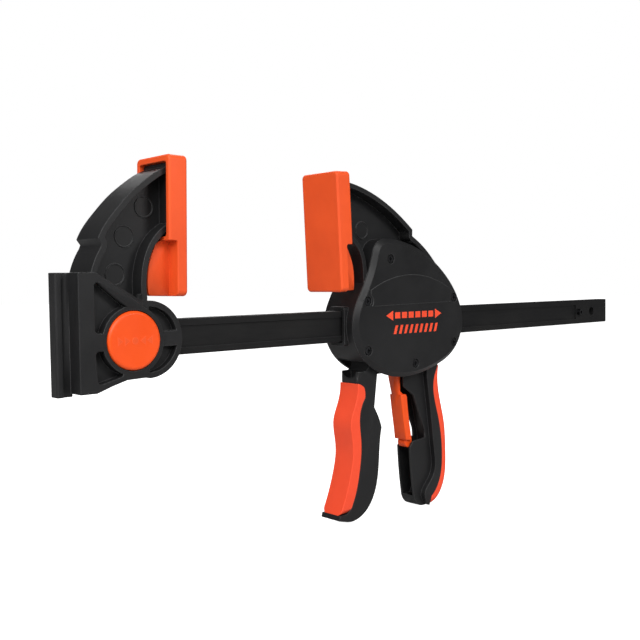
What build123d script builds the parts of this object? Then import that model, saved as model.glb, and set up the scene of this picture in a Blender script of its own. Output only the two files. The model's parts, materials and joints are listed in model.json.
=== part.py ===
"""One-handed quick release bar clamp: a steel bar, a fixed jaw with a push button,
and a moving jaw whose housing holds the ratchet drive, the brake and two handles.

Frame: +X runs along the bar from the fixed jaw to the free end, +Z points from the
bar to the jaw pads, and -Y is the front, where the cover and the push button are.
The origin lies on the bar's centreline, in the plane of the fixed pad's clamping face.
"""
from build123d import *
import math
import os

os.makedirs("parts", exist_ok=True)

# ------------------------------------------------------------------ bar
bar_height = 20.0
bar_thickness = 8.5
bar_channel_depth = 1.0
bar_flange = 3.9
bar_edge_round = 0.8
bar_start_x = -50.0
bar_end_x = 449.0
bar_plain_end = 49.0
hang_hole_radius = 3.75
hang_hole_from_end = 23.7
stop_pin_radius = 2.5
stop_pin_from_end = 44.6
stop_pin_stand = 3.0

# ------------------------------------------------------------------ pads
jaw_gap = 114.1
pad_width = 33.2
pad_height = 75.25
pad_depth = 11.6
pad_bottom_z = 22.3
pad_wall = 4.0
pad_side_wall = 3.3
pad_top_wall = 3.6
pad_corner_round = 3.0
pad_edge_round = 1.4
pad_seat = 0.15
fixed_pad_lean = 1.0
moving_pad_lean = 2.6
pad_pocket_z = 31.8
pad_step_z = 29.6
pad_step_round = 1.2
pad_plate = 6.4
gusset_half = 8.0
gusset_rise = 0.3
foot_sink = 2.7
foot_gap = 0.3

# ------------------------------------------------------------------ jaw arms
arm_half_width = 11.8
arm_web_half = 2.5
arm_flange = 3.2
arm_mark_radius = 5.9
arm_mark_height = 0.6
arm_mark_line = 0.8
arm_tip_drop = 1.4

# ------------------------------------------------------------------ fixed jaw base
block_half_width = 13.0
block_left_x = -62.0
block_top_z = 35.4
block_bottom_z = -25.6
base_web_half = 7.4
button_x = -31.3
button_radius = 15.4
button_gap = 0.3
button_front_y = 14.5
button_top = 2.2
button_skirt = 5.3
button_skirt_wall = 2.2
button_crown = 1.9
ring_wall = 2.4
ring_outer_radius = button_radius + button_gap + ring_wall
rim_wall = 3.2
base_web_bar = 4.1
bore_floor_y = 5.6
rim_center_x = -21.5
rim_radius = 20.5
rail_head_half = 3.9
rail_neck_half = 2.6
rail_head_depth = 3.5
rail_neck_depth = 4.4
rail_drop = 1.6
rail_chamfer = 0.9
pocket_round = 2.0
plunger_radius = 4.0
plunger_fit = 0.05
plunger_end_y = 12.0
clip_radius = 5.6
clip_thickness = 1.0
clip_groove_radius = 3.2

# ------------------------------------------------------------------ moving jaw housing
housing_half_width = 15.25
housing_wall = 3.0
housing_front_x = 12.6
housing_rear_x = 122.7
cavity_top_z = 34.0
cavity_steps = 24
bar_slot_gap = 0.3
collar_height = 25.4
collar_half_width = 6.8
collar_stand = 1.6
opening_start_x = 24.0
opening_end_x = 66.0
opening_top_z = -21.5
screw_radius = 1.5
screw_head_radius = 2.5
screw_head_height = 1.5
screw_head_gap = 0.6
screw_head_sink = 0.35
screw_length = 12.0
screw_boss_radius = 3.0
screw_rib_width = 3.0
screw_rib_height = 8.0
pin_radius = 2.5
pin_fit = 0.05
pin_seat_depth = 1.6
cover_bevel_width = 3.1
cover_bevel_depth = 2.4
back_bevel = 0.8
cover_panel_height = 0.4

# ------------------------------------------------------------------ squeeze lever
lever_half_width = 8.7
lever_pivot_x = 33.0
lever_pivot_z = 24.0
lever_boss_radius = 5.5
lever_nose_x = 38.9
lever_nose_z = -17.0
lever_strap_front = 31.5
lever_collar_z = -30.0
lever_collar_front = 21.0
lever_collar_drop = 8.6
strap_inner = 4.9
strap_outer = 8.7
grip_inset = 3.0
grip_core_half = 5.6
grip_round = 3.6
lever_hollow_half = 6.0
lever_rib_half = 0.9
socket_half = 6.6
socket_depth = 5.4
socket_lip = 4.5

# ------------------------------------------------------------------ drive plates and brake
plate_thickness = 2.5
plate_half_width = 8.0
plate_count = 2
plate_play = 0.1
plate_top_z = 17.0
plate_bottom_z = -17.6
plate_start_x = 39.2
plate_slot_side_gap = 0.5
plate_slot_gap = 0.4
spring_seat_x = 58.9
spring_seat_wall = 2.5
seat_wall_low_z = -20.0
drive_spring_radius = 3.0
drive_spring_wire = 0.5
drive_spring_turns = 5
spring_drop = 4.7
brake_pivot_x = 68.6
brake_pivot_z = 19.5
brake_lean = 4.6
brake_thickness = 3.0
brake_pin_radius = 2.0
brake_head_radius = 4.2
brake_bottom = 37.5
brake_tail_half = 2.0
brake_tail_end = 57.0
brake_slot_side_gap = 0.4
brake_slot_gap = 0.6
brake_spring_seat_x = 82.0
brake_spring_stand = -0.8
brake_spring_turns = 6

# ------------------------------------------------------------------ release trigger
trigger_stem_half = 3.4
trigger_pad_half = 5.5
trigger_knob_half = 3.5
trigger_knob_radius = 3.6
trigger_top_z = -30.6
trigger_slot_side_gap = 0.5
trigger_slot_end_x = 73.5
trigger_edge_round = 0.7

# ------------------------------------------------------------------ rear handle
handle_half_width = 6.2
handle_wall = 1.5
handle_top_z = -37.0
handle_rim_half = 10.0
rear_grip_round = 4.5


def jaw_point(x, z):
    """A point of the moving jaw, measured from the moving pad's clamping face."""
    return (jaw_gap + x, z)


def side_plane(y):
    """The upright plane at y, seen from the front: its local axes are +X and +Z."""
    return Plane.XZ.offset(-y)


def save(part, label):
    part.label = label
    export_step(part, f"parts/{label}.step")


def coil_spring(start, direction, length, radius, wire, turns):
    """A closed round-wire coil from start along direction."""
    with BuildPart() as spring:
        with BuildLine() as coil:
            Helix(
                pitch=(length - 2 * wire) / turns,
                height=length - 2 * wire,
                radius=radius,
                center=Vector(start) + Vector(direction) * wire,
                direction=direction,
            )
        with BuildSketch(Plane(origin=coil.line @ 0, z_dir=coil.line % 0)):
            Circle(wire)
        sweep(is_frenet=True)
    return spring.part


# ================================================================== bar
with BuildPart() as bar:
    with BuildSketch(Plane.YZ.offset(bar_start_x)):
        RectangleRounded(bar_thickness, bar_height, bar_edge_round)
    extrude(amount=bar_end_x - bar_start_x)
    channel_end = bar_end_x - bar_plain_end
    channel_height = bar_height - 2 * bar_flange
    for side in (-1, 1):
        channel_plane = side_plane(side * (bar_thickness / 2 - bar_channel_depth))
        with BuildSketch(channel_plane):
            with Locations(((bar_start_x + channel_end) / 2, 0)):
                Rectangle(channel_end - bar_start_x + 2, channel_height)
        extrude(amount=-side * 2 * bar_channel_depth, mode=Mode.SUBTRACT)
    with BuildSketch(side_plane(0)):
        with Locations((bar_end_x - hang_hole_from_end, 0)):
            Circle(hang_hole_radius)
        with Locations((bar_end_x - stop_pin_from_end, 0)):
            Circle(stop_pin_radius)
        with Locations((button_x, 0)):
            Circle(plunger_radius + plunger_fit)
    extrude(amount=bar_thickness, both=True, mode=Mode.SUBTRACT)
save(bar.part, "bar")

with BuildPart() as stop_pin:
    with BuildSketch(side_plane(0)):
        with Locations((bar_end_x - stop_pin_from_end, 0)):
            Circle(stop_pin_radius)
            Circle(stop_pin_radius * 0.5, mode=Mode.SUBTRACT)
    extrude(amount=bar_thickness / 2 + stop_pin_stand, both=True)
save(stop_pin.part, "stop_pin")


# ================================================================== jaw pads
def pad_plane(x, lean, toward):
    """The pad's foot plane: local x is the clamping face's normal, z runs up the pad."""
    tilt = math.radians(lean)
    up = Vector(toward * math.sin(tilt), 0, math.cos(tilt))
    normal = Vector(toward * math.cos(tilt), 0, -math.sin(tilt))
    return Plane(origin=(x, 0, pad_bottom_z), x_dir=normal, z_dir=up)


def face_plane(foot):
    """The clamping face's plane, looking into the pad, with its local y up the pad."""
    inward = foot.x_dir * -1
    return Plane(origin=foot.origin, x_dir=foot.z_dir.cross(inward), z_dir=inward)


def jaw_pad(foot):
    """A soft cap: a plate with a gusset below, and a hood above for the arm's foot."""
    side = Plane(origin=foot.origin, x_dir=foot.x_dir, z_dir=foot.x_dir.cross(foot.z_dir))
    face = face_plane(foot)
    pocket_top = pad_height - pad_top_wall
    with BuildPart() as pad:
        with BuildSketch(face):
            with Locations((0, pad_height / 2)):
                RectangleRounded(pad_width, pad_height, pad_corner_round)
        extrude(amount=pad_depth)
        fillet(pad.faces().filter_by(face).edges(), radius=pad_edge_round)
        # hood over the arm's foot, open at the back
        with BuildSketch(face.offset(pad_wall)):
            with Locations((0, (pocket_top + pad_pocket_z) / 2)):
                RectangleRounded(pad_width - 2 * pad_side_wall, pocket_top - pad_pocket_z, 1.5)
        extrude(amount=2 * pad_depth, mode=Mode.SUBTRACT)
        # below the hood only a plate is left
        with BuildSketch(side):
            with Locations((-pad_plate - pad_depth, pad_step_z - pad_height)):
                RectangleRounded(2 * pad_depth, 2 * pad_height, pad_step_round)
        extrude(amount=pad_width, both=True, mode=Mode.SUBTRACT)
        # gusset behind the plate, with a back edge that follows the arm's throat
        with BuildSketch(side):
            with BuildLine():
                gusset_low = (-18.9, gusset_rise)
                gusset_high = (-14.2, 28.6)
                Polyline(gusset_low, (-pad_wall, gusset_rise), (-pad_wall, 31.0), (-9.0, 31.0), gusset_high)
                Spline(gusset_high, (-16.4, 23.9), (-18.5, 18.1), (-19.5, 12.0), gusset_low)
            make_face()
        extrude(amount=gusset_half, both=True)
    return pad.part


fixed_foot = pad_plane(0, fixed_pad_lean, 1)
moving_foot = pad_plane(jaw_gap, moving_pad_lean, -1)
fixed_pad = jaw_pad(fixed_foot)
moving_pad = jaw_pad(moving_foot)
save(fixed_pad, "fixed_pad")
save(moving_pad, "moving_pad")


def pad_back_x(foot_x, lean, toward, z):
    """Where the arm ends at height z, just behind the bottom of the pad's pocket."""
    slope = math.tan(math.radians(lean))
    return foot_x + toward * (slope * (z - pad_bottom_z) - pad_wall - pad_seat)


def arm_foot(foot):
    """The plate at the arm's tip, which fills the pad's hood."""
    plate_low = pad_pocket_z + foot_gap
    plate_high = pad_height - pad_top_wall - foot_gap
    plate_front = pad_wall + pad_seat
    plate_width = pad_width - 2 * (pad_side_wall + pad_seat)
    with BuildPart() as plate:
        with BuildSketch(face_plane(foot).offset(plate_front)):
            with Locations((0, (plate_low + plate_high) / 2)):
                RectangleRounded(plate_width, plate_high - plate_low, 1.4)
        extrude(amount=pad_depth - foot_sink - plate_front)
    return plate.part


tip_top_z = pad_bottom_z + pad_height - pad_top_wall - arm_tip_drop
tip_low_z = pad_bottom_z + pad_pocket_z + 5.9


# ================================================================== fixed jaw
def fixed_arm_outline():
    tip_top = (pad_back_x(0, fixed_pad_lean, 1, tip_top_z), tip_top_z)
    tip_low = (pad_back_x(0, fixed_pad_lean, 1, tip_low_z), tip_low_z)
    Line(tip_low, tip_top)
    Spline(tip_top, (-12.8, 89.5), (-20.6, 84.5), (-31.1, 76.2), (-39.5, 67.4), (-45.9, 59.6), (-49.9, 52.6))
    Polyline((-49.9, 52.6), (-47.8, 49.8), (-48.5, 48.0))
    Spline((-48.5, 48.0), (-51.2, 43.3), (-54.5, block_top_z - 1))
    Polyline((-54.5, block_top_z - 1), (-40.0, 14.0), (-22.3, 14.0), (-22.1, 22.3))
    Spline((-22.1, 22.3), (-21.5, 37.5), (-16.4, 50.1), (-9.4, 57.0), tip_low)


def fixed_base_outline():
    rim_top = (rim_center_x, rim_radius)
    rim_bottom = (rim_center_x, -rim_radius)
    Polyline(
        (block_left_x, block_bottom_z),
        (block_left_x, block_top_z),
        (-52.1, block_top_z),
        (-24.5, rim_radius - 0.6),
        rim_top,
    )
    ThreePointArc(rim_top, (rim_center_x + rim_radius, 0), rim_bottom)
    Spline(rim_bottom, (-35.5, -20.3), (-44.0, -22.6), (-52.6, block_bottom_z))
    Line((-52.6, block_bottom_z), (block_left_x, block_bottom_z))


def fixed_block_outline():
    Polyline(
        (block_left_x, block_bottom_z),
        (block_left_x, block_top_z),
        (-52.1, block_top_z),
        (-23.9, 16.7),
        (-22.5, -19.8),
        (-35.5, -20.2),
        (-44.0, -22.6),
        (-52.6, block_bottom_z),
        (block_left_x, block_bottom_z),
    )


def block_pockets(plane):
    """The two hollows of the block, beside the button's ring."""
    with BuildSketch(plane) as hollows:
        with BuildLine():
            Polyline((-53.3, 4.6), (-53.3, 32.6), (-33.5, 16.6), (-36.0, 4.6), (-53.3, 4.6))
        make_face()
        with BuildLine():
            Polyline((-53.2, -4.5), (-36.0, -4.5), (-38.0, -18.0), (-52.2, -21.7), (-53.2, -4.5))
        make_face()
        fillet(hollows.vertices(), radius=pocket_round)
        with Locations((button_x, 0)):
            Circle(ring_outer_radius, mode=Mode.SUBTRACT)
    return hollows.sketch


def rim_pockets(plane):
    """The two hollows between the button's ring and the round rim."""
    with BuildSketch(plane) as hollows:
        with Locations((rim_center_x, 0)):
            Circle(rim_radius - rim_wall)
        with Locations((button_x, 0)):
            Circle(ring_outer_radius, mode=Mode.SUBTRACT)
            Rectangle(120, 2 * base_web_bar, mode=Mode.SUBTRACT)
        with Locations((button_x - 50, 0)):
            Rectangle(120, 120, mode=Mode.SUBTRACT)
    return hollows.sketch


def arm_pocket(plane, outline):
    """The arm's side inside its edge flanges."""
    with BuildSketch(plane) as hollow:
        with BuildLine() as border:
            outline()
        make_face()
        for edge in border.edges():
            trace(edge, line_width=2 * arm_flange, mode=Mode.SUBTRACT)
        with Locations(*border.vertices()):
            Circle(arm_flange, mode=Mode.SUBTRACT)
    return hollow.sketch


def arm_mark_rings(plane, places):
    """Low round marks left on the arm's web."""
    with BuildSketch(plane) as rings:
        with Locations(*places):
            Circle(arm_mark_radius)
            Circle(arm_mark_radius - arm_mark_line, mode=Mode.SUBTRACT)
    return rings.sketch


with BuildPart() as fixed_jaw:
    with BuildSketch(side_plane(0)):
        with BuildLine():
            fixed_arm_outline()
        make_face()
    extrude(amount=arm_half_width, both=True)
    for side in (-1, 1):
        web_side = side_plane(side * arm_web_half)
        hollow = arm_pocket(web_side, fixed_arm_outline)
        extrude(hollow, amount=-side * arm_half_width, mode=Mode.SUBTRACT)
        rings = arm_mark_rings(web_side, [(-17.8, 70.1), (-30.0, 54.1), (-35.7, 34.3)])
        extrude(rings, amount=-side * arm_mark_height)
    add(arm_foot(fixed_foot))
    with BuildSketch(side_plane(0)):
        with BuildLine():
            fixed_base_outline()
        make_face()
    extrude(amount=arm_half_width, both=True)
    with BuildSketch(side_plane(0)):
        with BuildLine():
            fixed_block_outline()
        make_face()
        with Locations((button_x, 0)):
            Circle(ring_outer_radius)
    extrude(amount=block_half_width, both=True)
    for side in (-1, 1):
        floor = side_plane(side * base_web_half)
        extrude(block_pockets(floor), amount=-side * block_half_width, mode=Mode.SUBTRACT)
        extrude(rim_pockets(floor), amount=-side * block_half_width, mode=Mode.SUBTRACT)
    # end rail
    with BuildSketch(Plane.XY.offset(block_bottom_z - rail_drop)) as rail:
        with Locations((block_left_x - rail_neck_depth / 2 + 0.5, 0)):
            Rectangle(rail_neck_depth + 1, 2 * rail_neck_half)
        with Locations((block_left_x - rail_neck_depth - rail_head_depth / 2, 0)):
            Rectangle(rail_head_depth, 2 * rail_head_half)
        chamfer(rail.vertices().group_by(Axis.X)[0], length=rail_chamfer)
    extrude(amount=block_top_z - block_bottom_z + rail_drop)
    # socket for the bar's front end
    with BuildSketch(Plane.YZ.offset(bar_start_x - 0.2)):
        Rectangle(bar_thickness + 0.3, bar_height + 0.3)
    extrude(amount=100, mode=Mode.SUBTRACT)
    # button bore from the front, recess and plunger hole on the back
    with BuildSketch(side_plane(-bore_floor_y)):
        with Locations((button_x, 0)):
            Circle(button_radius + button_gap)
    extrude(amount=block_half_width, mode=Mode.SUBTRACT)
    with BuildSketch(side_plane(arm_half_width)):
        with Locations((button_x, 0)):
            Circle(button_radius + button_gap)
    extrude(amount=-block_half_width, mode=Mode.SUBTRACT)
    with BuildSketch(side_plane(0)):
        with Locations((button_x, 0)):
            Circle(plunger_radius + plunger_fit)
    extrude(amount=block_half_width, both=True, mode=Mode.SUBTRACT)
save(fixed_jaw.part, "fixed_jaw")

with BuildPart() as push_button:
    with BuildSketch(side_plane(-button_front_y)):
        with Locations((button_x, 0)):
            Circle(button_radius)
    extrude(amount=-button_skirt)
    with BuildSketch(side_plane(-button_front_y + button_top)):
        with Locations((button_x, 0)):
            Circle(button_radius - button_skirt_wall)
    extrude(amount=-button_skirt, mode=Mode.SUBTRACT)
    fillet(push_button.edges().group_by(Axis.Y)[0], radius=button_crown)
save(push_button.part, "push_button")

button_inner_y = -button_front_y + button_top
with BuildPart() as lock_plunger:
    with BuildSketch(side_plane(button_inner_y)):
        with Locations((button_x, 0)):
            Circle(plunger_radius)
    extrude(amount=-(plunger_end_y - button_inner_y))
    chamfer(lock_plunger.edges().group_by(Axis.Y)[-1], length=0.6)
    groove_y = arm_half_width + 0.1
    with BuildSketch(side_plane(groove_y)):
        with Locations((button_x, 0)):
            Circle(plunger_radius)
            Circle(clip_groove_radius, mode=Mode.SUBTRACT)
    extrude(amount=-clip_thickness, mode=Mode.SUBTRACT)
save(lock_plunger.part, "lock_plunger")

with BuildPart() as retaining_clip:
    with BuildSketch(side_plane(groove_y)):
        with Locations((button_x, 0)):
            Circle(clip_radius)
            Circle(clip_groove_radius, mode=Mode.SUBTRACT)
        with Locations((button_x, -clip_radius)):
            Rectangle(1.6 * clip_groove_radius, 2 * clip_radius, mode=Mode.SUBTRACT)
    extrude(amount=-clip_thickness)
save(retaining_clip.part, "retaining_clip")

button_spring = coil_spring(
    (button_x, button_inner_y + 0.05, 0),
    (0, 1, 0),
    -bore_floor_y - button_inner_y - 0.1,
    plunger_radius + 3.0,
    0.5,
    2.5,
)
save(button_spring, "button_spring")


# ================================================================== moving jaw housing
housing_points = [
    jaw_point(45.0, 56.7),
    jaw_point(73.4, 51.4),
    jaw_point(99.9, 36.4),
    jaw_point(116.3, 18.8),
    jaw_point(housing_rear_x, 0.0),
    jaw_point(115.7, -17.8),
    jaw_point(93.2, -30.5),
    jaw_point(60.6, -35.8),
    jaw_point(34.4, -30.0),
    jaw_point(18.6, -17.5),
    jaw_point(housing_front_x, 0.0),
    jaw_point(15.9, 13.8),
    jaw_point(24.4, 28.5),
    jaw_point(30.4, 43.0),
    jaw_point(35.4, 53.9),
]


def housing_outline():
    """The round housing with its upper lobe, as one smooth closed line."""
    Spline(*housing_points, periodic=True)


def cavity_outline():
    """The housing's outline moved in by its wall."""
    outline = Spline(*housing_points, periodic=True, mode=Mode.PRIVATE)
    inner_points = []
    for step in range(cavity_steps):
        tangent = outline % (step / cavity_steps)
        inward = Vector(tangent.Y, -tangent.X)
        inner_points.append(outline @ (step / cavity_steps) + inward * housing_wall)
    Spline(*inner_points, periodic=True)


def moving_arm_outline():
    tip_top = (pad_back_x(jaw_gap, moving_pad_lean, -1, tip_top_z), tip_top_z)
    tip_low = (pad_back_x(jaw_gap, moving_pad_lean, -1, tip_low_z), tip_low_z)
    Line(tip_low, tip_top)
    Spline(
        tip_top,
        jaw_point(15.0, 91.0),
        jaw_point(32.1, 86.2),
        jaw_point(50.9, 77.4),
        jaw_point(71.4, 63.4),
    )
    Polyline(jaw_point(71.4, 63.4), jaw_point(71.2, 59.1), jaw_point(72.8, 58.2))
    Spline(jaw_point(72.8, 58.2), jaw_point(90.9, 45.0), jaw_point(101.0, 33.0))
    Polyline(jaw_point(101.0, 33.0), jaw_point(60.0, 24.0), jaw_point(23.8, 24.0))
    Spline(
        jaw_point(23.8, 24.0),
        jaw_point(23.6, 38.0),
        jaw_point(20.3, 48.2),
        jaw_point(14.6, 53.8),
        jaw_point(7.4, 57.6),
        tip_low,
    )


screw_places = [
    jaw_point(46.1, 43.3),
    jaw_point(24.3, 16.0),
    jaw_point(24.5, -16.0),
    jaw_point(69.9, -27.2),
    jaw_point(110.8, 16.6),
    jaw_point(110.6, -14.9),
]
lowest_screw_x, lowest_screw_z = min(screw_places, key=lambda place: place[1])
lever_pivot = jaw_point(lever_pivot_x, lever_pivot_z)
brake_pivot = jaw_point(brake_pivot_x, brake_pivot_z)
cavity_half = housing_half_width - housing_wall


def handle_outline():
    """The black part of the rear handle, from its open front to the rear grip."""
    Polyline(
        jaw_point(98.0, -26.0),
        jaw_point(66.3, -30.0),
        jaw_point(67.3, -43.5),
        jaw_point(77.6, -50.6),
        jaw_point(88.7, -76.5),
        jaw_point(88.9, -81.5),
        jaw_point(76.0, -83.0),
        jaw_point(73.2, -86.5),
    )
    Spline(jaw_point(73.2, -86.5), jaw_point(74.3, -102.0), jaw_point(77.0, -122.0))
    Spline(jaw_point(77.0, -122.0), jaw_point(80.5, -127.3), jaw_point(89.0, -129.2))
    handle_back_line()


def grip_seat_line():
    """The curved seat of the soft rear grip on the black handle."""
    Spline(
        jaw_point(91.5, -123.0),
        jaw_point(100.3, -112.0),
        jaw_point(102.9, -94.0),
        jaw_point(98.8, -66.6),
        jaw_point(94.1, -46.9),
        jaw_point(98.0, -33.0),
    )


def handle_back_line():
    """The back of the black handle, from its lowest tip up into the housing."""
    Line(jaw_point(89.0, -129.2), jaw_point(91.5, -123.0))
    grip_seat_line()
    Line(jaw_point(98.0, -33.0), jaw_point(98.0, -26.0))


def handle_rim_outline():
    """The raised rim in front of the rear grip."""
    Spline(
        jaw_point(89.0, -129.2),
        jaw_point(84.6, -119.0),
        jaw_point(93.6, -108.0),
        jaw_point(94.4, -90.0),
        jaw_point(90.9, -62.7),
        jaw_point(86.9, -26.0),
    )
    Line(jaw_point(86.9, -26.0), jaw_point(98.0, -26.0))
    handle_back_line()


def rear_grip_outline():
    grip_seat_line()
    Line(jaw_point(98.0, -33.0), jaw_point(102.4, -30.5))
    Spline(
        jaw_point(102.4, -30.5),
        jaw_point(101.7, -46.0),
        jaw_point(107.9, -71.9),
        jaw_point(109.4, -92.0),
        jaw_point(106.1, -117.2),
        jaw_point(98.6, -126.4),
        jaw_point(90.5, -129.0),
    )
    Line(jaw_point(90.5, -129.0), jaw_point(91.5, -123.0))


with BuildPart() as housing_drum:
    with BuildSketch(side_plane(-cavity_half)):
        with BuildLine():
            housing_outline()
        make_face()
    extrude(amount=-(cavity_half + housing_half_width))
    chamfer(housing_drum.edges().group_by(Axis.Y)[-1], length=back_bevel)

with BuildPart() as housing:
    # arm
    with BuildSketch(side_plane(0)):
        with BuildLine():
            moving_arm_outline()
        make_face()
    extrude(amount=arm_half_width, both=True)
    for side in (-1, 1):
        web_side = side_plane(side * arm_web_half)
        hollow = arm_pocket(web_side, moving_arm_outline)
        extrude(hollow, amount=-side * arm_half_width, mode=Mode.SUBTRACT)
        rings = arm_mark_rings(web_side, [jaw_point(31.7, 62.2)])
        extrude(rings, amount=-side * arm_mark_height)
    add(arm_foot(moving_foot))
    # rear handle
    with BuildSketch(side_plane(0)):
        with BuildLine():
            handle_outline()
        make_face()
    extrude(amount=handle_half_width, both=True)
    with BuildSketch(side_plane(0)):
        with BuildLine():
            handle_rim_outline()
        make_face()
    extrude(amount=handle_rim_half, both=True)
    # round housing, hollow round its screw bosses and spring seats, open at the front
    add(housing_drum.part)
    with BuildSketch(side_plane(-cavity_half)):
        with BuildLine():
            cavity_outline()
        make_face()
        with Locations(jaw_point(60, cavity_top_z + 50)):
            Rectangle(200, 100, mode=Mode.SUBTRACT)
        with Locations(*screw_places):
            Circle(screw_boss_radius, mode=Mode.SUBTRACT)
        with Locations((lowest_screw_x, lowest_screw_z - screw_rib_height / 2)):
            Rectangle(screw_rib_width, screw_rib_height, mode=Mode.SUBTRACT)
        for seat_x in (spring_seat_x, brake_spring_seat_x):
            with Locations(jaw_point(seat_x + spring_seat_wall / 2, seat_wall_low_z + 30)):
                Rectangle(spring_seat_wall, 60, mode=Mode.SUBTRACT)
    extrude(amount=-2 * cavity_half, mode=Mode.SUBTRACT)
    # screw holes and pin seats
    with BuildSketch(side_plane(-cavity_half)):
        with Locations(*screw_places):
            Circle(screw_radius)
    extrude(amount=-screw_length, mode=Mode.SUBTRACT)
    with BuildSketch(side_plane(cavity_half + pin_seat_depth)):
        with Locations(lever_pivot):
            Circle(pin_radius)
        with Locations(brake_pivot):
            Circle(brake_pin_radius)
    extrude(amount=2 * cavity_half, mode=Mode.SUBTRACT)
    # bar passage with its collar
    with BuildSketch(Plane.YZ.offset(jaw_gap + housing_front_x - collar_stand)):
        RectangleRounded(2 * collar_half_width, collar_height, 2.0)
    extrude(amount=housing_wall + collar_stand + 2)
    with BuildSketch(Plane.YZ.offset(jaw_gap - 10)):
        Rectangle(bar_thickness + 2 * bar_slot_gap, bar_height + 2 * bar_slot_gap)
    extrude(amount=160, mode=Mode.SUBTRACT)
    # opening under the housing for the lever and the trigger
    with BuildSketch(Plane.XY.offset(handle_top_z)):
        with Locations((jaw_gap + (opening_start_x + opening_end_x) / 2, 0)):
            Rectangle(opening_end_x - opening_start_x, 2 * cavity_half)
        with Locations((jaw_gap + trigger_slot_end_x - 10, 0)):
            Rectangle(20, 2 * (trigger_stem_half + trigger_slot_side_gap))
    extrude(amount=opening_top_z - handle_top_z, mode=Mode.SUBTRACT)
    # hollow of the rear handle, open towards the trigger
    with BuildSketch(side_plane(0)):
        with BuildLine():
            Polyline(
                jaw_point(60.0, handle_top_z),
                jaw_point(82.0, handle_top_z),
                jaw_point(88.0, -60.0),
                jaw_point(93.0, -82.0),
                jaw_point(92.0, -105.0),
                jaw_point(84.5, -121.0),
                jaw_point(60.0, -121.0),
                jaw_point(60.0, handle_top_z),
            )
        make_face()
    extrude(amount=handle_half_width - handle_wall, both=True, mode=Mode.SUBTRACT)
    # the front is cut level for the cover
    with BuildSketch(side_plane(-cavity_half)):
        with BuildLine():
            housing_outline()
        make_face()
    extrude(amount=20, mode=Mode.SUBTRACT)
save(housing.part, "jaw_housing")


# ================================================================== cover and its screws
with BuildPart() as front_cover:
    with BuildSketch(side_plane(-cavity_half)):
        with BuildLine():
            housing_outline()
        make_face()
    extrude(amount=housing_wall)
    cover_face = front_cover.faces().sort_by(Axis.Y)[0]
    chamfer(cover_face.edges(), length=cover_bevel_width, length2=cover_bevel_depth, reference=cover_face)
    # raised field above the middle of the cover
    with BuildSketch(side_plane(-housing_half_width)):
        with BuildLine():
            field_left = jaw_point(27.0, 23.0)
            field_right = jaw_point(110.8, 20.2)
            ThreePointArc(field_left, jaw_point(70.8, 32.8), field_right)
            Polyline(field_right, jaw_point(112.0, 13.8), jaw_point(27.0, 12.6), field_left)
        make_face()
        with Locations(*screw_places):
            Circle(screw_head_radius + 2.4, mode=Mode.SUBTRACT)
    extrude(amount=cover_panel_height)
    # recesses and holes of the screws, blind seats of the two pins
    head_seat = housing_half_width - screw_head_height - screw_head_sink
    with BuildSketch(side_plane(-head_seat)):
        with Locations(*screw_places):
            Circle(screw_head_radius + screw_head_gap)
    extrude(amount=housing_wall, mode=Mode.SUBTRACT)
    with BuildSketch(side_plane(0)):
        with Locations(*screw_places):
            Circle(screw_radius + 0.1)
    extrude(amount=2 * housing_half_width, mode=Mode.SUBTRACT)
    with BuildSketch(side_plane(0)):
        with Locations(lever_pivot):
            Circle(pin_radius)
        with Locations(brake_pivot):
            Circle(brake_pin_radius)
    extrude(amount=cavity_half + pin_seat_depth, mode=Mode.SUBTRACT)
save(front_cover.part, "front_cover")

with BuildPart() as cover_screws:
    with BuildSketch(side_plane(-head_seat)):
        with Locations(*screw_places):
            Circle(screw_head_radius)
    extrude(amount=screw_head_height)
    with BuildSketch(side_plane(-head_seat)):
        with Locations(*screw_places):
            Circle(screw_radius)
    extrude(amount=-(screw_length - 1.5))
    with BuildSketch(side_plane(-head_seat - screw_head_height)):
        with Locations(*screw_places):
            Rectangle(2.9, 0.7)
            Rectangle(0.7, 2.9)
    extrude(amount=-1.0, mode=Mode.SUBTRACT)
save(cover_screws.part, "cover_screws")


def cross_pin(place, radius, label):
    """A plain steel pin held in blind seats of the housing and the cover."""
    with BuildPart() as pin:
        with BuildSketch(side_plane(0)):
            with Locations(place):
                Circle(radius)
        extrude(amount=cavity_half + pin_seat_depth - 0.1, both=True)
        chamfer(pin.edges().filter_by(GeomType.CIRCLE), length=0.3)
    save(pin.part, label)


cross_pin(lever_pivot, pin_radius, "lever_pin")
cross_pin(brake_pivot, brake_pin_radius, "brake_pin")

# ================================================================== rear grip
with BuildPart() as rear_grip:
    with BuildSketch(side_plane(0)):
        with BuildLine():
            rear_grip_outline()
        make_face()
    extrude(amount=handle_rim_half, both=True)
    add(housing.part, mode=Mode.SUBTRACT)
    back_edges = [side.edges().sort_by(Axis.X)[-1] for side in rear_grip.faces().filter_by(Axis.Y)]
    fillet(back_edges, radius=rear_grip_round)
save(rear_grip.part, "rear_grip")


# ================================================================== squeeze lever
def lever_front_line(inset):
    """The lever's finger side, from its black collar down to its foot."""
    Spline(
        jaw_point(21.2 + inset, -37.6),
        jaw_point(18.2 + inset, -52.0),
        jaw_point(14.6 + inset, -61.5),
        jaw_point(16.1 + inset, -79.0),
        jaw_point(13.0 + inset, -98.5),
        jaw_point(3.7 + inset, -121.4),
    )


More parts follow.
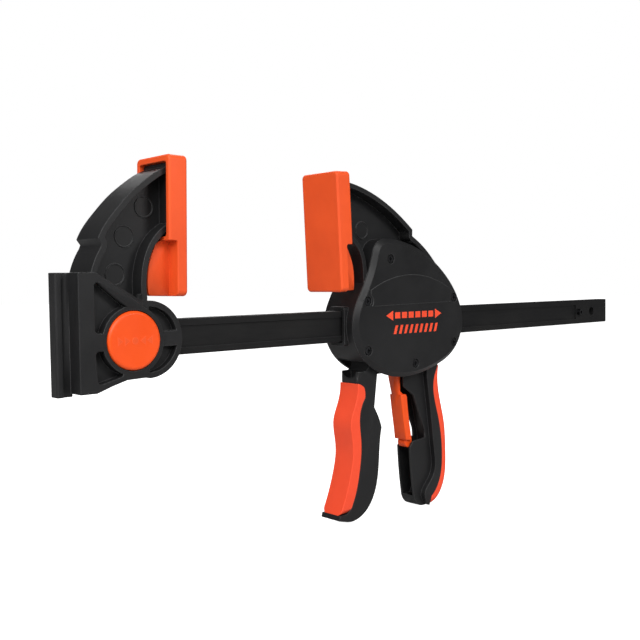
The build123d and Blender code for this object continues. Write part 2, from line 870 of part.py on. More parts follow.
def lever_outline():
    Polyline(
        jaw_point(lever_strap_front, lever_nose_z),
        jaw_point(lever_strap_front, -27.0),
        jaw_point(28.5, lever_collar_z),
        jaw_point(lever_collar_front, lever_collar_z),
        jaw_point(21.2, -37.6),
    )
    lever_front_line(0)
    Polyline(jaw_point(3.7, -121.4), jaw_point(2.8, -124.4), jaw_point(10.0, -126.2))
    Spline(
        jaw_point(10.0, -126.2),
        jaw_point(17.4, -126.4),
        jaw_point(29.6, -120.0),
        jaw_point(36.2, -109.6),
        jaw_point(40.0, -89.4),
        jaw_point(42.8, -68.5),
    )
    Spline(jaw_point(42.8, -68.5), jaw_point(40.4, -62.0), jaw_point(35.8, -54.4))
    Polyline(
        jaw_point(35.8, -54.4),
        jaw_point(39.0, -31.0),
        jaw_point(36.5, -20.5),
        jaw_point(lever_nose_x, lever_nose_z),
        jaw_point(lever_strap_front, lever_nose_z),
    )


def lever_grip_outline(inset):
    """The soft grip's side, or its inner seat when inset."""
    lever_front_line(inset)
    Line(jaw_point(3.7 + inset, -121.4), jaw_point(9.0, -121.0))
    Spline(
        jaw_point(9.0, -121.0),
        jaw_point(12.6, -119.0),
        jaw_point(16.0, -114.0),
        jaw_point(22.0, -94.0),
        jaw_point(23.6, -76.0),
        jaw_point(22.5, -62.0),
        jaw_point(27.6, -47.5),
    )
    Spline(jaw_point(27.6, -47.5), jaw_point(26.5, -40.5), jaw_point(21.2 + inset, -37.6))


def strap_outline():
    """One of the two straps that carry the lever past the bar up to its pin."""
    boss_front = jaw_point(lever_pivot_x - lever_boss_radius, lever_pivot_z)
    boss_top = jaw_point(lever_pivot_x, lever_pivot_z + lever_boss_radius)
    boss_back = jaw_point(lever_pivot_x + lever_boss_radius, lever_pivot_z)
    Polyline(jaw_point(lever_strap_front, lever_nose_z - 1), jaw_point(31.0, 8.0), boss_front)
    ThreePointArc(boss_front, boss_top, boss_back)
    Polyline(
        boss_back,
        jaw_point(lever_nose_x, 12.0),
        jaw_point(lever_nose_x, lever_nose_z),
        jaw_point(lever_nose_x - 0.6, lever_nose_z - 1),
        jaw_point(lever_strap_front, lever_nose_z - 1),
    )


with BuildPart() as lever_grip:
    with BuildSketch(side_plane(0)):
        with BuildLine():
            lever_grip_outline(0)
        make_face()
    extrude(amount=lever_half_width, both=True)
    front_edges = [side.edges().sort_by(Axis.X)[0] for side in lever_grip.faces().filter_by(Axis.Y)]
    fillet(front_edges, radius=grip_round)
    with BuildSketch(side_plane(0)):
        with BuildLine():
            lever_grip_outline(grip_inset)
        make_face()
    extrude(amount=grip_core_half, both=True, mode=Mode.SUBTRACT)
save(lever_grip.part, "lever_grip")

with BuildPart() as squeeze_lever:
    with BuildSketch(side_plane(0)):
        with BuildLine():
            lever_outline()
        make_face()
    extrude(amount=lever_half_width, both=True)
    # the collar's front corners are rounded like the grip below
    with BuildSketch(Plane.XY.offset(lever_collar_z)):
        for side in (-1, 1):
            round_x = jaw_gap + lever_collar_front + grip_round
            round_y = side * (lever_half_width - grip_round)
            with Locations((round_x - grip_round, round_y + side * grip_round)):
                Rectangle(2 * grip_round, 2 * grip_round)
            with Locations((round_x, round_y)):
                Circle(grip_round, mode=Mode.SUBTRACT)
    extrude(amount=-lever_collar_drop, mode=Mode.SUBTRACT)
    # seat of the soft grip round the lever's core
    with BuildSketch(side_plane(0)):
        with BuildLine():
            lever_grip_outline(0)
        make_face()
    extrude(amount=lever_half_width + 1, both=True, mode=Mode.SUBTRACT)
    with BuildSketch(side_plane(0)):
        with BuildLine():
            lever_grip_outline(grip_inset)
        make_face()
    extrude(amount=grip_core_half, both=True)
    # straps beside the bar, with the gap between them
    for side in (-1, 1):
        with BuildSketch(side_plane(side * strap_outer)):
            with BuildLine():
                strap_outline()
            make_face()
        extrude(amount=side * (strap_outer - strap_inner))
        with BuildSketch(side_plane(side * strap_outer)):
            with Locations(jaw_point(35, lever_nose_z + 6)):
                Rectangle(20, 20)
        extrude(amount=-side * 2, mode=Mode.SUBTRACT)
    # hollow at the back, stiffened by cross ribs
    with BuildSketch(side_plane(0)):
        with BuildLine():
            Polyline(
                jaw_point(29.0, -62.0),
                jaw_point(50.0, -62.0),
                jaw_point(50.0, -116.0),
                jaw_point(23.5, -116.0),
                jaw_point(26.5, -90.0),
                jaw_point(29.0, -62.0),
            )
        make_face()
        for rib_z in (-75.0, -88.5, -102.0):
            with Locations(jaw_point(36, rib_z)):
                Rectangle(40, 2 * lever_rib_half, mode=Mode.SUBTRACT)
    extrude(amount=lever_hollow_half, both=True, mode=Mode.SUBTRACT)
    # socket in the top of the collar, with a dip in its front lip
    with BuildSketch(Plane.XY.offset(lever_collar_z)):
        with Locations((jaw_point(26.0, 0)[0], 0)):
            Rectangle(7.0, 2 * socket_half)
    extrude(amount=-socket_depth, mode=Mode.SUBTRACT)
    with BuildSketch(Plane.YZ.offset(jaw_gap + 18.0)):
        with Locations((0, lever_collar_z)):
            Ellipse(socket_half, socket_lip)
    extrude(amount=6.0, mode=Mode.SUBTRACT)
    with BuildSketch(side_plane(0)):
        with Locations(lever_pivot):
            Circle(pin_radius + pin_fit)
    extrude(amount=lever_half_width + 1, both=True, mode=Mode.SUBTRACT)
save(squeeze_lever.part, "squeeze_lever")


# ================================================================== drive plates
for number in range(plate_count):
    plate_x = jaw_gap + plate_start_x + number * (plate_thickness + plate_play)
    with BuildPart() as drive_plate:
        with BuildSketch(Plane.YZ.offset(plate_x)):
            with Locations((0, (plate_top_z + plate_bottom_z) / 2)):
                RectangleRounded(2 * plate_half_width, plate_top_z - plate_bottom_z, 1.5)
            Rectangle(
                bar_thickness + 2 * plate_slot_side_gap,
                bar_height + 2 * plate_slot_gap,
                mode=Mode.SUBTRACT,
            )
        extrude(amount=plate_thickness)
    save(drive_plate.part, f"drive_plate_{number + 1}")

spring_z = -bar_height / 2 - spring_drop
plates_back_x = jaw_gap + plate_start_x + plate_count * (plate_thickness + plate_play)
drive_spring = coil_spring(
    (plates_back_x, 0, spring_z),
    (1, 0, 0),
    jaw_gap + spring_seat_x - plates_back_x - 0.05,
    drive_spring_radius,
    drive_spring_wire,
    drive_spring_turns,
)
save(drive_spring, "drive_spring")

# ================================================================== brake
lean = math.radians(brake_lean)
brake_face = Plane(
    origin=(brake_pivot[0], 0, brake_pivot[1]),
    x_dir=(0, 1, 0),
    z_dir=(math.cos(lean), 0, -math.sin(lean)),
)
with BuildPart() as brake_plate:
    with BuildSketch(brake_face):
        with Locations((0, (brake_head_radius - brake_bottom) / 2)):
            RectangleRounded(2 * plate_half_width, brake_head_radius + brake_bottom, 1.5)
        with Locations((0, -brake_tail_end / 2)):
            Rectangle(2 * brake_tail_half, brake_tail_end)
        with Locations((0, -brake_pivot_z / math.cos(lean))):
            Rectangle(
                bar_thickness + 2 * brake_slot_side_gap,
                bar_height + 2 * brake_slot_gap,
                mode=Mode.SUBTRACT,
            )
    extrude(amount=brake_thickness / 2, both=True)
    # barrel round the pin
    with BuildSketch(side_plane(0)):
        with Locations(brake_pivot):
            Circle(brake_head_radius)
    extrude(amount=plate_half_width, both=True)
    with BuildSketch(side_plane(0)):
        with Locations(brake_pivot):
            Circle(brake_pin_radius + pin_fit)
    extrude(amount=plate_half_width + 1, both=True, mode=Mode.SUBTRACT)
save(brake_plate.part, "brake_plate")

brake_spring_x = brake_pivot[0] + brake_spring_stand
brake_spring = coil_spring(
    (brake_spring_x, 0, spring_z),
    (1, 0, 0),
    jaw_gap + brake_spring_seat_x - brake_spring_x - 0.05,
    drive_spring_radius,
    drive_spring_wire,
    brake_spring_turns,
)
save(brake_spring, "brake_spring")


# ================================================================== release trigger
def trigger_stem_outline():
    Polyline(
        jaw_point(61.6, trigger_top_z),
        jaw_point(61.8, -36.0),
        jaw_point(64.6, -47.0),
        jaw_point(65.6, -50.6),
        jaw_point(71.6, -50.6),
        jaw_point(66.9, -47.0),
        jaw_point(66.8, -38.0),
        jaw_point(68.4, -34.0),
        jaw_point(68.4, trigger_top_z),
        jaw_point(61.6, trigger_top_z),
    )


def trigger_pad_outline():
    Polyline(
        jaw_point(65.4, -49.6),
        jaw_point(67.3, -63.0),
        jaw_point(69.1, -74.0),
        jaw_point(70.0, -81.0),
        jaw_point(76.2, -82.0),
        jaw_point(73.6, -67.6),
        jaw_point(72.6, -60.6),
        jaw_point(71.8, -53.5),
        jaw_point(71.6, -51.0),
        jaw_point(70.6, -49.3),
        jaw_point(65.4, -49.6),
    )


with BuildPart() as release_trigger:
    with BuildSketch(side_plane(0)):
        with BuildLine():
            trigger_pad_outline()
        make_face()
    extrude(amount=trigger_pad_half, both=True)
    fillet(release_trigger.edges().filter_by(Axis.Y, reverse=True), radius=trigger_edge_round)
    with BuildSketch(side_plane(0)):
        with BuildLine():
            trigger_stem_outline()
        make_face()
    extrude(amount=trigger_stem_half, both=True)
    with BuildSketch(side_plane(0)):
        with Locations(jaw_point(74.6, -83.3)):
            Circle(trigger_knob_radius)
    extrude(amount=trigger_knob_half, both=True)
    add(brake_plate.part, mode=Mode.SUBTRACT)
save(release_trigger.part, "release_trigger")
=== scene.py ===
"""Looks of the quick release bar clamp: rounded mouldings, finishes and light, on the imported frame."""
import json
import math

import bmesh
import bpy
from mathutils import Matrix, Vector
from mathutils.bvhtree import BVHTree
from mathutils.geometry import intersect_point_line


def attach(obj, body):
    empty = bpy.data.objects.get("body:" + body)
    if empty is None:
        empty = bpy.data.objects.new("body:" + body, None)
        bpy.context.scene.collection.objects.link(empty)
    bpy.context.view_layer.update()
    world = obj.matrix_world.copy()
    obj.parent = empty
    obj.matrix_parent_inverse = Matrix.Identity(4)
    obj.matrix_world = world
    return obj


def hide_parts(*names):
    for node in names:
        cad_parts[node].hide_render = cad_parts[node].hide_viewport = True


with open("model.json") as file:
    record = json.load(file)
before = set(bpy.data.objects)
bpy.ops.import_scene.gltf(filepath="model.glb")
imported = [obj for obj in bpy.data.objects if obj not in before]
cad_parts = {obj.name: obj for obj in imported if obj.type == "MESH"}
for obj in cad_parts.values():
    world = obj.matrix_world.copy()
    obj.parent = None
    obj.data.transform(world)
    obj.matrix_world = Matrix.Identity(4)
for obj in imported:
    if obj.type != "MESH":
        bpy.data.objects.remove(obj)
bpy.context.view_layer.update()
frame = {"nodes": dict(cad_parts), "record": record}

MM = 0.001
nodes = frame["nodes"]
record = frame["record"]
body_of_node = {
    node: body for body, members in record["behaviour"]["bodies"].items() for node in members
}
slot_of_node = {entry["node"]: entry["material_slot"] for entry in record["subparts"]}

# ------------------------------------------------------------------ camera
CAMERA_PLACE = Vector((-267.2, -416.0, 30.14)) * MM
CAMERA_YAW = math.radians(42.2213)
CAMERA_PITCH = math.radians(2.5916)
CAMERA_ROLL = math.radians(-0.7408)
FOCAL_PIXELS = 885.96
FRAME_PIXELS = 640
SENSOR_WIDTH = 36.0


def make_camera():
    data = bpy.data.cameras.new("camera")
    data.sensor_width = SENSOR_WIDTH
    data.lens = FOCAL_PIXELS / FRAME_PIXELS * SENSOR_WIDTH
    data.clip_start = 0.01
    camera = bpy.data.objects.new("camera", data)
    bpy.context.scene.collection.objects.link(camera)
    right = Vector((math.cos(CAMERA_YAW), -math.sin(CAMERA_YAW), 0))
    forward = Vector(
        (
            math.sin(CAMERA_YAW) * math.cos(CAMERA_PITCH),
            math.cos(CAMERA_YAW) * math.cos(CAMERA_PITCH),
            -math.sin(CAMERA_PITCH),
        )
    )
    up = right.cross(forward)
    rolled_right = math.cos(CAMERA_ROLL) * right + math.sin(CAMERA_ROLL) * up
    rolled_up = -math.sin(CAMERA_ROLL) * right + math.cos(CAMERA_ROLL) * up
    turn = Matrix((rolled_right, rolled_up, -forward)).transposed()
    camera.matrix_world = Matrix.Translation(CAMERA_PLACE) @ turn.to_4x4()
    bpy.context.scene.camera = camera


# ------------------------------------------------------------------ materials
FLOOR_GLOW = 1.0


class Finish:
    """A Principled material whose colour, roughness and bump come from node patterns."""

    def __init__(self, name, color, roughness, metallic=0.0, specular=0.5):
        self.material = bpy.data.materials.new(name)
        self.material.use_nodes = True
        self.tree = self.material.node_tree
        self.shader = self.tree.nodes["Principled BSDF"]
        self.shader.inputs["Base Color"].default_value = (*color, 1)
        self.shader.inputs["Roughness"].default_value = roughness
        self.shader.inputs["Metallic"].default_value = metallic
        self.shader.inputs["Specular IOR Level"].default_value = specular
        self.position = self.add("ShaderNodeNewGeometry").outputs["Position"]

    def add(self, kind, **settings):
        node = self.tree.nodes.new(kind)
        for key, value in settings.items():
            setattr(node, key, value)
        return node

    def link(self, output, socket):
        self.tree.links.new(output, socket)

    def stretched(self, stretch):
        """The position, scaled so that a pattern comes out long along some axes."""
        mapping = self.add("ShaderNodeMapping")
        mapping.inputs["Scale"].default_value = stretch
        self.link(self.position, mapping.inputs["Vector"])
        return mapping.outputs["Vector"]

    def noise(self, scale, detail=2.0, roughness=0.5, stretch=(1, 1, 1)):
        node = self.add("ShaderNodeTexNoise")
        node.inputs["Scale"].default_value = scale
        node.inputs["Detail"].default_value = detail
        node.inputs["Roughness"].default_value = roughness
        self.link(self.stretched(stretch), node.inputs["Vector"])
        return node.outputs["Fac"]

    def ramp(self, value, low, high):
        """Two (place, number) pairs turned into a grey ramp of value."""
        node = self.add("ShaderNodeMapRange")
        node.inputs["From Min"].default_value = low[0]
        node.inputs["From Max"].default_value = high[0]
        node.inputs["To Min"].default_value = low[1]
        node.inputs["To Max"].default_value = high[1]
        self.link(value, node.inputs["Value"])
        return node.outputs["Result"]

    def mix(self, factor, first, second):
        """A colour between two others; each is a colour or another mix's output."""
        node = self.add("ShaderNodeMix", data_type="RGBA")
        for socket, value in ((node.inputs[6], first), (node.inputs[7], second)):
            if isinstance(value, tuple):
                socket.default_value = (*value, 1)
            else:
                self.link(value, socket)
        self.link(factor, node.inputs[0])
        return node.outputs[2]

    def color_from(self, output):
        self.link(output, self.shader.inputs["Base Color"])

    def roughness_from(self, output):
        self.link(output, self.shader.inputs["Roughness"])

    def edges(self, reach=0.45, low=0.998, high=0.90):
        """Where the surface turns sharply within reach (mm), from 0 to 1."""
        geometry = self.add("ShaderNodeNewGeometry")
        soft = self.add("ShaderNodeBevel", samples=6)
        soft.inputs["Radius"].default_value = reach * MM
        likeness = self.add("ShaderNodeVectorMath", operation="DOT_PRODUCT")
        self.link(soft.outputs["Normal"], likeness.inputs[0])
        self.link(geometry.outputs["Normal"], likeness.inputs[1])
        return self.ramp(likeness.outputs["Value"], (low, 0.0), (high, 1.0))

    def bumps(self, *layers):
        """Stacks (height output, strength, distance) layers into the normal."""
        normal = None
        for height, strength, distance in layers:
            bump = self.add("ShaderNodeBump")
            bump.inputs["Strength"].default_value = strength
            bump.inputs["Distance"].default_value = distance
            self.link(height, bump.inputs["Height"])
            if normal is not None:
                self.link(normal, bump.inputs["Normal"])
            normal = bump.outputs["Normal"]
        self.link(normal, self.shader.inputs["Normal"])


def black_nylon():
    """Glass-filled nylon: a fine moulded grain, faint flow clouds, and paler edges that are partly wear
    and partly a painted highlight.
    """
    finish = Finish("black_nylon", (0.010, 0.010, 0.0105), 0.5, specular=0.27)
    clouds = finish.noise(38, detail=4.0, roughness=0.6)
    grain = finish.noise(2600, detail=2.0)
    fibres = finish.noise(900, detail=3.0, stretch=(1.0, 1.0, 0.25))
    cloudy = finish.ramp(clouds, (0.3, 0.0), (0.7, 1.0))
    base = finish.mix(cloudy, (0.0075, 0.0075, 0.008), (0.0115, 0.0115, 0.012))
    # the pale edge colour is a painted highlight along the edges with a little wear, standing in for
    # glints of the soft lights
    finish.color_from(finish.mix(finish.edges(), base, (0.085, 0.085, 0.086)))
    finish.roughness_from(finish.ramp(clouds, (0.3, 0.40), (0.7, 0.52)))
    finish.bumps((fibres, 0.12, 0.00012), (grain, 0.22, 0.00006))
    return finish.material


def soft_orange(name, deep, bright, roughness):
    """Moulded soft plastic: a satin skin with faint clouds, and a painted highlight along the edges."""
    finish = Finish(name, bright, roughness, specular=0.28)
    clouds = finish.noise(26, detail=3.0, roughness=0.55)
    skin = finish.noise(1900, detail=2.0)
    waves = finish.noise(120, detail=1.0, stretch=(1.0, 1.0, 0.4))
    base = finish.mix(finish.ramp(clouds, (0.3, 0.0), (0.7, 1.0)), deep, bright)
    # this paler colour, mixed in along the edges, is a painted highlight
    pale = tuple(min(1.0, channel * 1.12 + 0.012) for channel in bright)
    finish.color_from(finish.mix(finish.edges(), base, pale))
    finish.roughness_from(finish.ramp(waves, (0.3, roughness - 0.06), (0.7, roughness + 0.06)))
    finish.bumps((waves, 0.05, 0.0002), (skin, 0.16, 0.00006))
    return finish.material


def black_bar():
    """Black oxide on rolled steel: long faint streaks, and paler edges that are partly rubbed and partly
    a painted highlight.
    """
    finish = Finish("black_bar", (0.008, 0.008, 0.008), 0.48, specular=0.2)
    streaks = finish.noise(900, detail=3.0, stretch=(0.02, 1.0, 1.0))
    clouds = finish.noise(45, detail=4.0, roughness=0.65, stretch=(0.4, 1.0, 1.0))
    grain = finish.noise(3200, detail=1.0)
    cloudy = finish.ramp(clouds, (0.35, 0.0), (0.7, 1.0))
    base = finish.mix(cloudy, (0.005, 0.005, 0.0055), (0.010, 0.0098, 0.0096))
    # the paler edge colour is partly rubbed oxide and partly a painted highlight along the edges
    finish.color_from(finish.mix(finish.edges(), base, (0.02, 0.02, 0.021)))
    finish.roughness_from(finish.ramp(streaks, (0.3, 0.4), (0.7, 0.56)))
    finish.bumps((streaks, 0.1, 0.00005), (grain, 0.12, 0.00003))
    return finish.material


def bare_steel(name, dark, light, roughness):
    """Plated or blackened steel with brushed streaks and small dull spots."""
    finish = Finish(name, light, roughness, metallic=1.0)
    streaks = finish.noise(1500, detail=2.0, stretch=(1.0, 1.0, 0.15))
    spots = finish.noise(240, detail=4.0, roughness=0.6)
    finish.color_from(finish.mix(finish.ramp(spots, (0.35, 0.0), (0.65, 1.0)), dark, light))
    finish.roughness_from(finish.ramp(streaks, (0.3, roughness - 0.08), (0.7, roughness + 0.08)))
    finish.bumps((streaks, 0.15, 0.00003))
    return finish.material


def studio_floor():
    """A pale floor that the camera sees brighter than it lights the object."""
    finish = Finish("floor", (0.5, 0.5, 0.5), 0.85, specular=0.2)
    clouds = finish.noise(3)
    finish.color_from(finish.mix(clouds, (0.49, 0.49, 0.49), (0.52, 0.52, 0.52)))
    paths = finish.add("ShaderNodeLightPath")
    glow = finish.ramp(paths.outputs["Is Camera Ray"], (0.0, 0.0), (1.0, FLOOR_GLOW))
    finish.shader.inputs["Emission Color"].default_value = (1, 1, 1, 1)
    finish.link(glow, finish.shader.inputs["Emission Strength"])
    return finish.material


finishes = {
    "black_nylon": black_nylon(),
    "orange_pad": soft_orange("orange_pad", (0.70, 0.074, 0.013), (0.80, 0.090, 0.016), 0.5),
    "orange_grip": soft_orange("orange_grip", (0.78, 0.064, 0.022), (0.88, 0.078, 0.027), 0.55),
    "orange_plastic": soft_orange("orange_plastic", (0.76, 0.068, 0.006), (0.84, 0.085, 0.009), 0.4),
    "black_bar": black_bar(),
    "dark_steel": bare_steel("dark_steel", (0.03, 0.03, 0.032), (0.07, 0.07, 0.075), 0.34),
    "zinc_steel": bare_steel("zinc_steel", (0.36, 0.36, 0.37), (0.5, 0.5, 0.5), 0.34),
    "spring_steel": bare_steel("spring_steel", (0.26, 0.26, 0.27), (0.38, 0.38, 0.38), 0.28),
}


def finish_node(name):
    node = nodes[name]
    node.data.materials.clear()
    node.data.materials.append(finishes[slot_of_node[name]])


# ------------------------------------------------------------------ rounded mouldings
JOIN_DISTANCE = 0.002 * MM
FLAT_ANGLE = math.radians(0.4)
CORNER_ANGLE = math.radians(32)
STRAY_SHARE = 0.75
FLAT_WEIGHT = 95
AREA_SLACK = 0.002
TINY_AREA = 0.02 * MM * MM
PARALLEL = 1e-18
SMALL_FACE = 8
EASING_ROUNDS = 5
# how wide each moulding's edges are rounded, in mm, and in how many segments
ROUNDED_EDGES = {
    "fixed_jaw": (0.35, 2),
    "jaw_housing": (0.3, 2),
    "front_cover": (0.25, 2),
    "squeeze_lever": (0.4, 2),
    "fixed_pad": (0.5, 3),
    "moving_pad": (0.5, 3),
    "rear_grip": (0.45, 2),
    "lever_grip": (0.45, 2),
    "release_trigger": (0.4, 2),
    "push_button": (0.3, 2),
}


def joined_skin(name):
    """A node's mesh as one skin: seams joined, flats merged, outer corners marked for rounding."""
    mesh = nodes[name].data.copy()
    mesh.name = name + "_skin"
    work = bmesh.new()
    work.from_mesh(mesh)
    bmesh.ops.remove_doubles(work, verts=work.verts, dist=JOIN_DISTANCE)
    shape = BVHTree.FromBMesh(work)
    bmesh.ops.dissolve_limit(work, angle_limit=FLAT_ANGLE, verts=work.verts, edges=work.edges)
    weight = work.edges.layers.float.new("bevel_weight_edge")
    for edge in work.edges:
        turn = edge.calc_face_angle_signed(0.0)
        edge[weight] = float(turn > CORNER_ANGLE)
        edge.smooth = turn > -CORNER_ANGLE
    for face in work.faces:
        face.smooth = True
    work.to_mesh(mesh)
    work.free()
    imported_normals = mesh.attributes.get("custom_normal")
    if imported_normals:
        mesh.attributes.remove(imported_normals)
    return mesh, shape


def rounded_copy(piece, shape, width):
    """The piece's mesh with its marked edges rounded, every point kept close to the first shape."""
    graph = bpy.context.evaluated_depsgraph_get()
    mesh = bpy.data.meshes.new_from_object(piece.evaluated_get(graph))
    # where short edges crowd, the rounding throws points off the surface: they go back to it
    for vertex in mesh.vertices:
        nearest, _, _, distance = shape.find_nearest(vertex.co)
        if distance > STRAY_SHARE * width:
            vertex.co = nearest
    return mesh


def crossing(start, end, other_start, other_end):
    """How far along the first flat segment the other one crosses it, from 0 to 1, or None."""
    run, other_run = end - start, other_end - other_start
    spread = run.cross(other_run)
    if abs(spread) < PARALLEL:
        return None
    offset = other_start - start
    along, across = offset.cross(other_run) / spread, offset.cross(run) / spread
    if 0 < along < 1 and 0 < across < 1:
        return along
    return None


def folds(mesh):
    """Places where a rounded face's outline crosses itself."""
    mesh.calc_loop_triangles()
    covered = [0.0] * len(mesh.polygons)
    for triangle in mesh.loop_triangles:
        covered[triangle.polygon_index] += triangle.area
    places = []
    for polygon in mesh.polygons:
        if covered[polygon.index] - polygon.area < max(TINY_AREA, AREA_SLACK * polygon.area):
            continue
        corners = [mesh.vertices[index].co for index in polygon.vertices]
        turn = polygon.normal.rotation_difference(Vector((0, 0, 1)))
        flat = [(turn @ corner).to_2d() for corner in corners]
        count = len(flat)
        found = False
        for first in range(count):
            for second in range(first + 2, count):
                if (second + 1) % count == first:
                    continue
                first_end, second_end = (first + 1) % count, (second + 1) % count
                along = crossing(flat[first], flat[first_end], flat[second], flat[second_end])
                if along is not None:
                    places.append(corners[first].lerp(corners[first_end], along))
                    found = True
        if not found and count <= SMALL_FACE:
            places += corners
    return places


def ease_corners(mesh, places, reach):
    """Leave the edges near the given places sharp."""
    weights = mesh.attributes["bevel_weight_edge"].data
    for edge in mesh.edges:
        start, end = (mesh.vertices[index].co for index in edge.vertices)
        for place in places:
            nearest, share = intersect_point_line(place, start, end)
            nearest = start.lerp(end, min(1.0, max(0.0, share)))
            if (nearest - place).length < reach:
                weights[edge.index].value = 0.0
                break


def rounded(name, width, segments):
    """The node with its sharp edges rounded as moulded plastic has them; it stands for the node."""
    mesh, shape = joined_skin(name)
    mesh.materials.clear()
    mesh.materials.append(finishes[slot_of_node[name]])
    piece = bpy.data.objects.new(name + "_moulding", mesh)
    bpy.context.scene.collection.objects.link(piece)
    bevel = piece.modifiers.new("edges", "BEVEL")
    bevel.width = width
    bevel.segments = segments
    bevel.limit_method = "WEIGHT"
    bevel.use_clamp_overlap = False
    flats = piece.modifiers.new("flats", "WEIGHTED_NORMAL")
    flats.mode = "FACE_AREA"
    flats.weight = FLAT_WEIGHT
    flats.keep_sharp = True
    for attempt in range(EASING_ROUNDS):
        soft = rounded_copy(piece, shape, width)
        places = folds(soft)
        if not places:
            break
        ease_corners(mesh, places, width * (1 + attempt))
    piece.data = soft
    piece.modifiers.clear()
    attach(piece, body_of_node[name])
    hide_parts(name)


for node_name in slot_of_node:
    finish_node(node_name)
for node_name, (edge_width, edge_segments) in ROUNDED_EDGES.items():
    rounded(node_name, edge_width * MM, edge_segments)


# ------------------------------------------------------------------ raised marks
SUNK = 0.06 * MM
MARK_HEIGHT = 0.12
MARK_DRAFT = 0.08
COVER_FACE_Y = -15.25
BUTTON_FACE_Y = -14.5
BUTTON_X = -31.5


def mark_piece(name, skins, body, slot):
    """One piece from closed skins, each a (points, faces) pair in metres."""
    points, faces = [], []
    for skin_points, skin_faces in skins:
        start = len(points)
        points += skin_points
        faces += [[start + index for index in face] for face in skin_faces]
    mesh = bpy.data.meshes.new(name)
    mesh.from_pydata(points, [], faces)
    work = bmesh.new()
    work.from_mesh(mesh)
    bmesh.ops.recalc_face_normals(work, faces=work.faces)
    work.to_mesh(mesh)
    work.free()
    mesh.materials.append(finishes[slot])
    piece = bpy.data.objects.new(name, mesh)
    bpy.context.scene.collection.objects.link(piece)
    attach(piece, body)


def raised(outline, face_y):
    """A low plateau on a face that looks to -Y, from (x, z) points in mm, with drafted sides."""
    count = len(outline)
    middle_x = sum(x for x, _ in outline) / count
    middle_z = sum(z for _, z in outline) / count
    points = [(x * MM, face_y * MM + SUNK, z * MM) for x, z in outline]
    for x, z in outline:
        reach = math.hypot(x - middle_x, z - middle_z)
        inward = 1 - MARK_DRAFT / reach
        points.append(
            (
                (middle_x + (x - middle_x) * inward) * MM,
                (face_y - MARK_HEIGHT) * MM,
                (middle_z + (z - middle_z) * inward) * MM,
            )
        )
    faces = [list(range(count)), list(range(count, 2 * count))]
    for step in range(count):
        following = (step + 1) % count
        faces.append([step, following, count + following, count + step])
    return points, faces


def arrow_outline(tip_x, tail_x, low_z, high_z):
    """A triangle that points along X."""
    return [(tip_x, (low_z + high_z) / 2), (tail_x, high_z), (tail_x, low_z)]


def bar_outline(start_x, width, low_z, high_z, lean):
    """An upright bar whose top is shifted along X by lean."""
    return [
        (start_x, low_z),
        (start_x + width, low_z),
        (start_x + width + lean, high_z),
        (start_x + lean, high_z),
    ]


def bar_row(count, first_x, pitch, *shape):
    """Evenly spaced bars on the cover's face."""
    return [
        raised(bar_outline(first_x + step * pitch, *shape), COVER_FACE_Y) for step in range(count)
    ]


def cover_marks():
    """Two rows of plain marks on the cover: clamping arrows with blocks, and slanted bars."""
    arrow_low_z, arrow_high_z = 2.7, 9.2
    skins = [
        raised(arrow_outline(tip_x, tail_x, arrow_low_z, arrow_high_z), COVER_FACE_Y)
        for tip_x, tail_x in ((155.2, 161.7), (210.6, 204.1))
    ]
    skins += bar_row(6, 163.7, 6.7, 4.9, 3.9, 8.0, 0)
    skins += bar_row(9, 162.2, 5.05, 2.3, -6.4, -0.6, 2.0)
    mark_piece("cover_marks", skins, "moving_jaw", "orange_grip")


def button_marks():
    """A plain press mark on the button's face: a dot and triangles that point at it."""
    half_tall, dot_radius, dot_sides = 2.35, 1.9, 24
    turns = [2 * math.pi * step / dot_sides for step in range(dot_sides)]
    dot = [(BUTTON_X + dot_radius * math.cos(turn), dot_radius * math.sin(turn)) for turn in turns]
    skins = [raised(dot, BUTTON_FACE_Y)]
    for side in (-1, 1):
        for tip, tail in ((2.9, 6.2), (6.9, 10.2)):
            outline = arrow_outline(BUTTON_X + side * tip, BUTTON_X + side * tail, -half_tall, half_tall)
            skins.append(raised(outline, BUTTON_FACE_Y))
    # the marks take the deeper orange_pad finish: a painted shade for the darker look of the moulded
    # relief
    mark_piece("button_marks", skins, "lock_button", "orange_pad")


cover_marks()
button_marks()


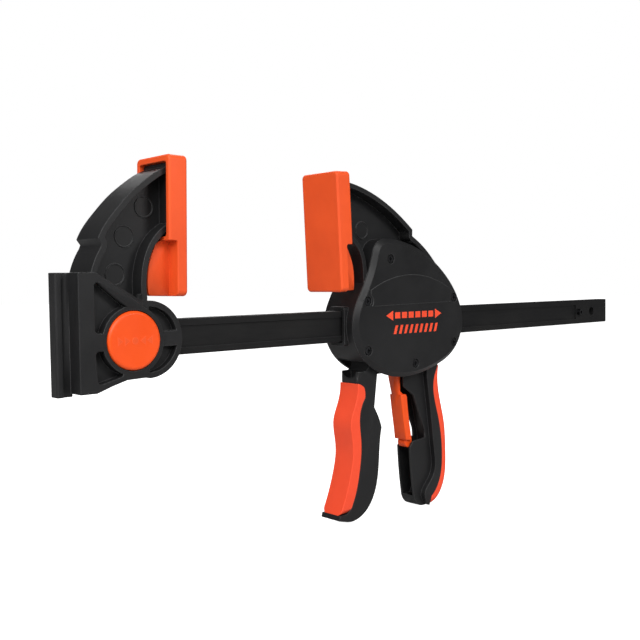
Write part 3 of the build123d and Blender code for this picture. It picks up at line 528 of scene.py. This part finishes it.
# ------------------------------------------------------------------ studio
FLOOR_Z = -129.5 * MM
FLOOR_X = 0.2
FLOOR_SIZE = 12


def make_floor():
    bpy.ops.mesh.primitive_plane_add(size=FLOOR_SIZE, location=(FLOOR_X, 0, FLOOR_Z))
    floor = bpy.context.object
    floor.name = "floor"
    floor.data.materials.append(studio_floor())


def sun_light(name, direction, spread, strength):
    """A broad, even light that falls along direction."""
    data = bpy.data.lights.new(name, "SUN")
    data.angle = math.radians(spread)
    data.energy = strength
    lamp = bpy.data.objects.new(name, data)
    bpy.context.scene.collection.objects.link(lamp)
    lamp.rotation_euler = Vector(direction).to_track_quat("-Z", "Y").to_euler()


def area_light(name, place, target, size, watts):
    """A round soft light at place that looks at target."""
    data = bpy.data.lights.new(name, "AREA")
    data.shape = "DISK"
    data.size = size
    data.energy = watts
    lamp = bpy.data.objects.new(name, data)
    bpy.context.scene.collection.objects.link(lamp)
    lamp.location = place
    lamp.rotation_euler = (Vector(target) - Vector(place)).to_track_quat("-Z", "Y").to_euler()


def make_world(seen, lighting):
    """White surroundings, seen brighter by the camera than they light the object."""
    world = bpy.data.worlds.new("studio")
    world.use_nodes = True
    tree = world.node_tree
    background = tree.nodes["Background"]
    background.inputs["Color"].default_value = (1, 1, 1, 1)
    paths = tree.nodes.new("ShaderNodeLightPath")
    strength = tree.nodes.new("ShaderNodeMapRange")
    strength.inputs["To Min"].default_value = lighting
    strength.inputs["To Max"].default_value = seen
    tree.links.new(paths.outputs["Is Camera Ray"], strength.inputs["Value"])
    tree.links.new(strength.outputs["Result"], background.inputs["Strength"])
    bpy.context.scene.world = world


make_camera()
make_floor()
make_world(seen=1.0, lighting=0.13)
sun_light("key", (0.35, 0.75, -0.7), 35, 1.6)
area_light("left", (-0.6, -0.3, 0.45), (-0.03, 0, 0.04), 0.7, 5.5)
area_light("front", (0.3, -0.7, 0.35), (-0.03, 0, 0.07), 0.25, 2.2)
area_light("rim", (0.6, 0.8, 0.9), (0.15, 0, 0), 0.9, 10)
bpy.context.scene.view_settings.view_transform = "Standard"
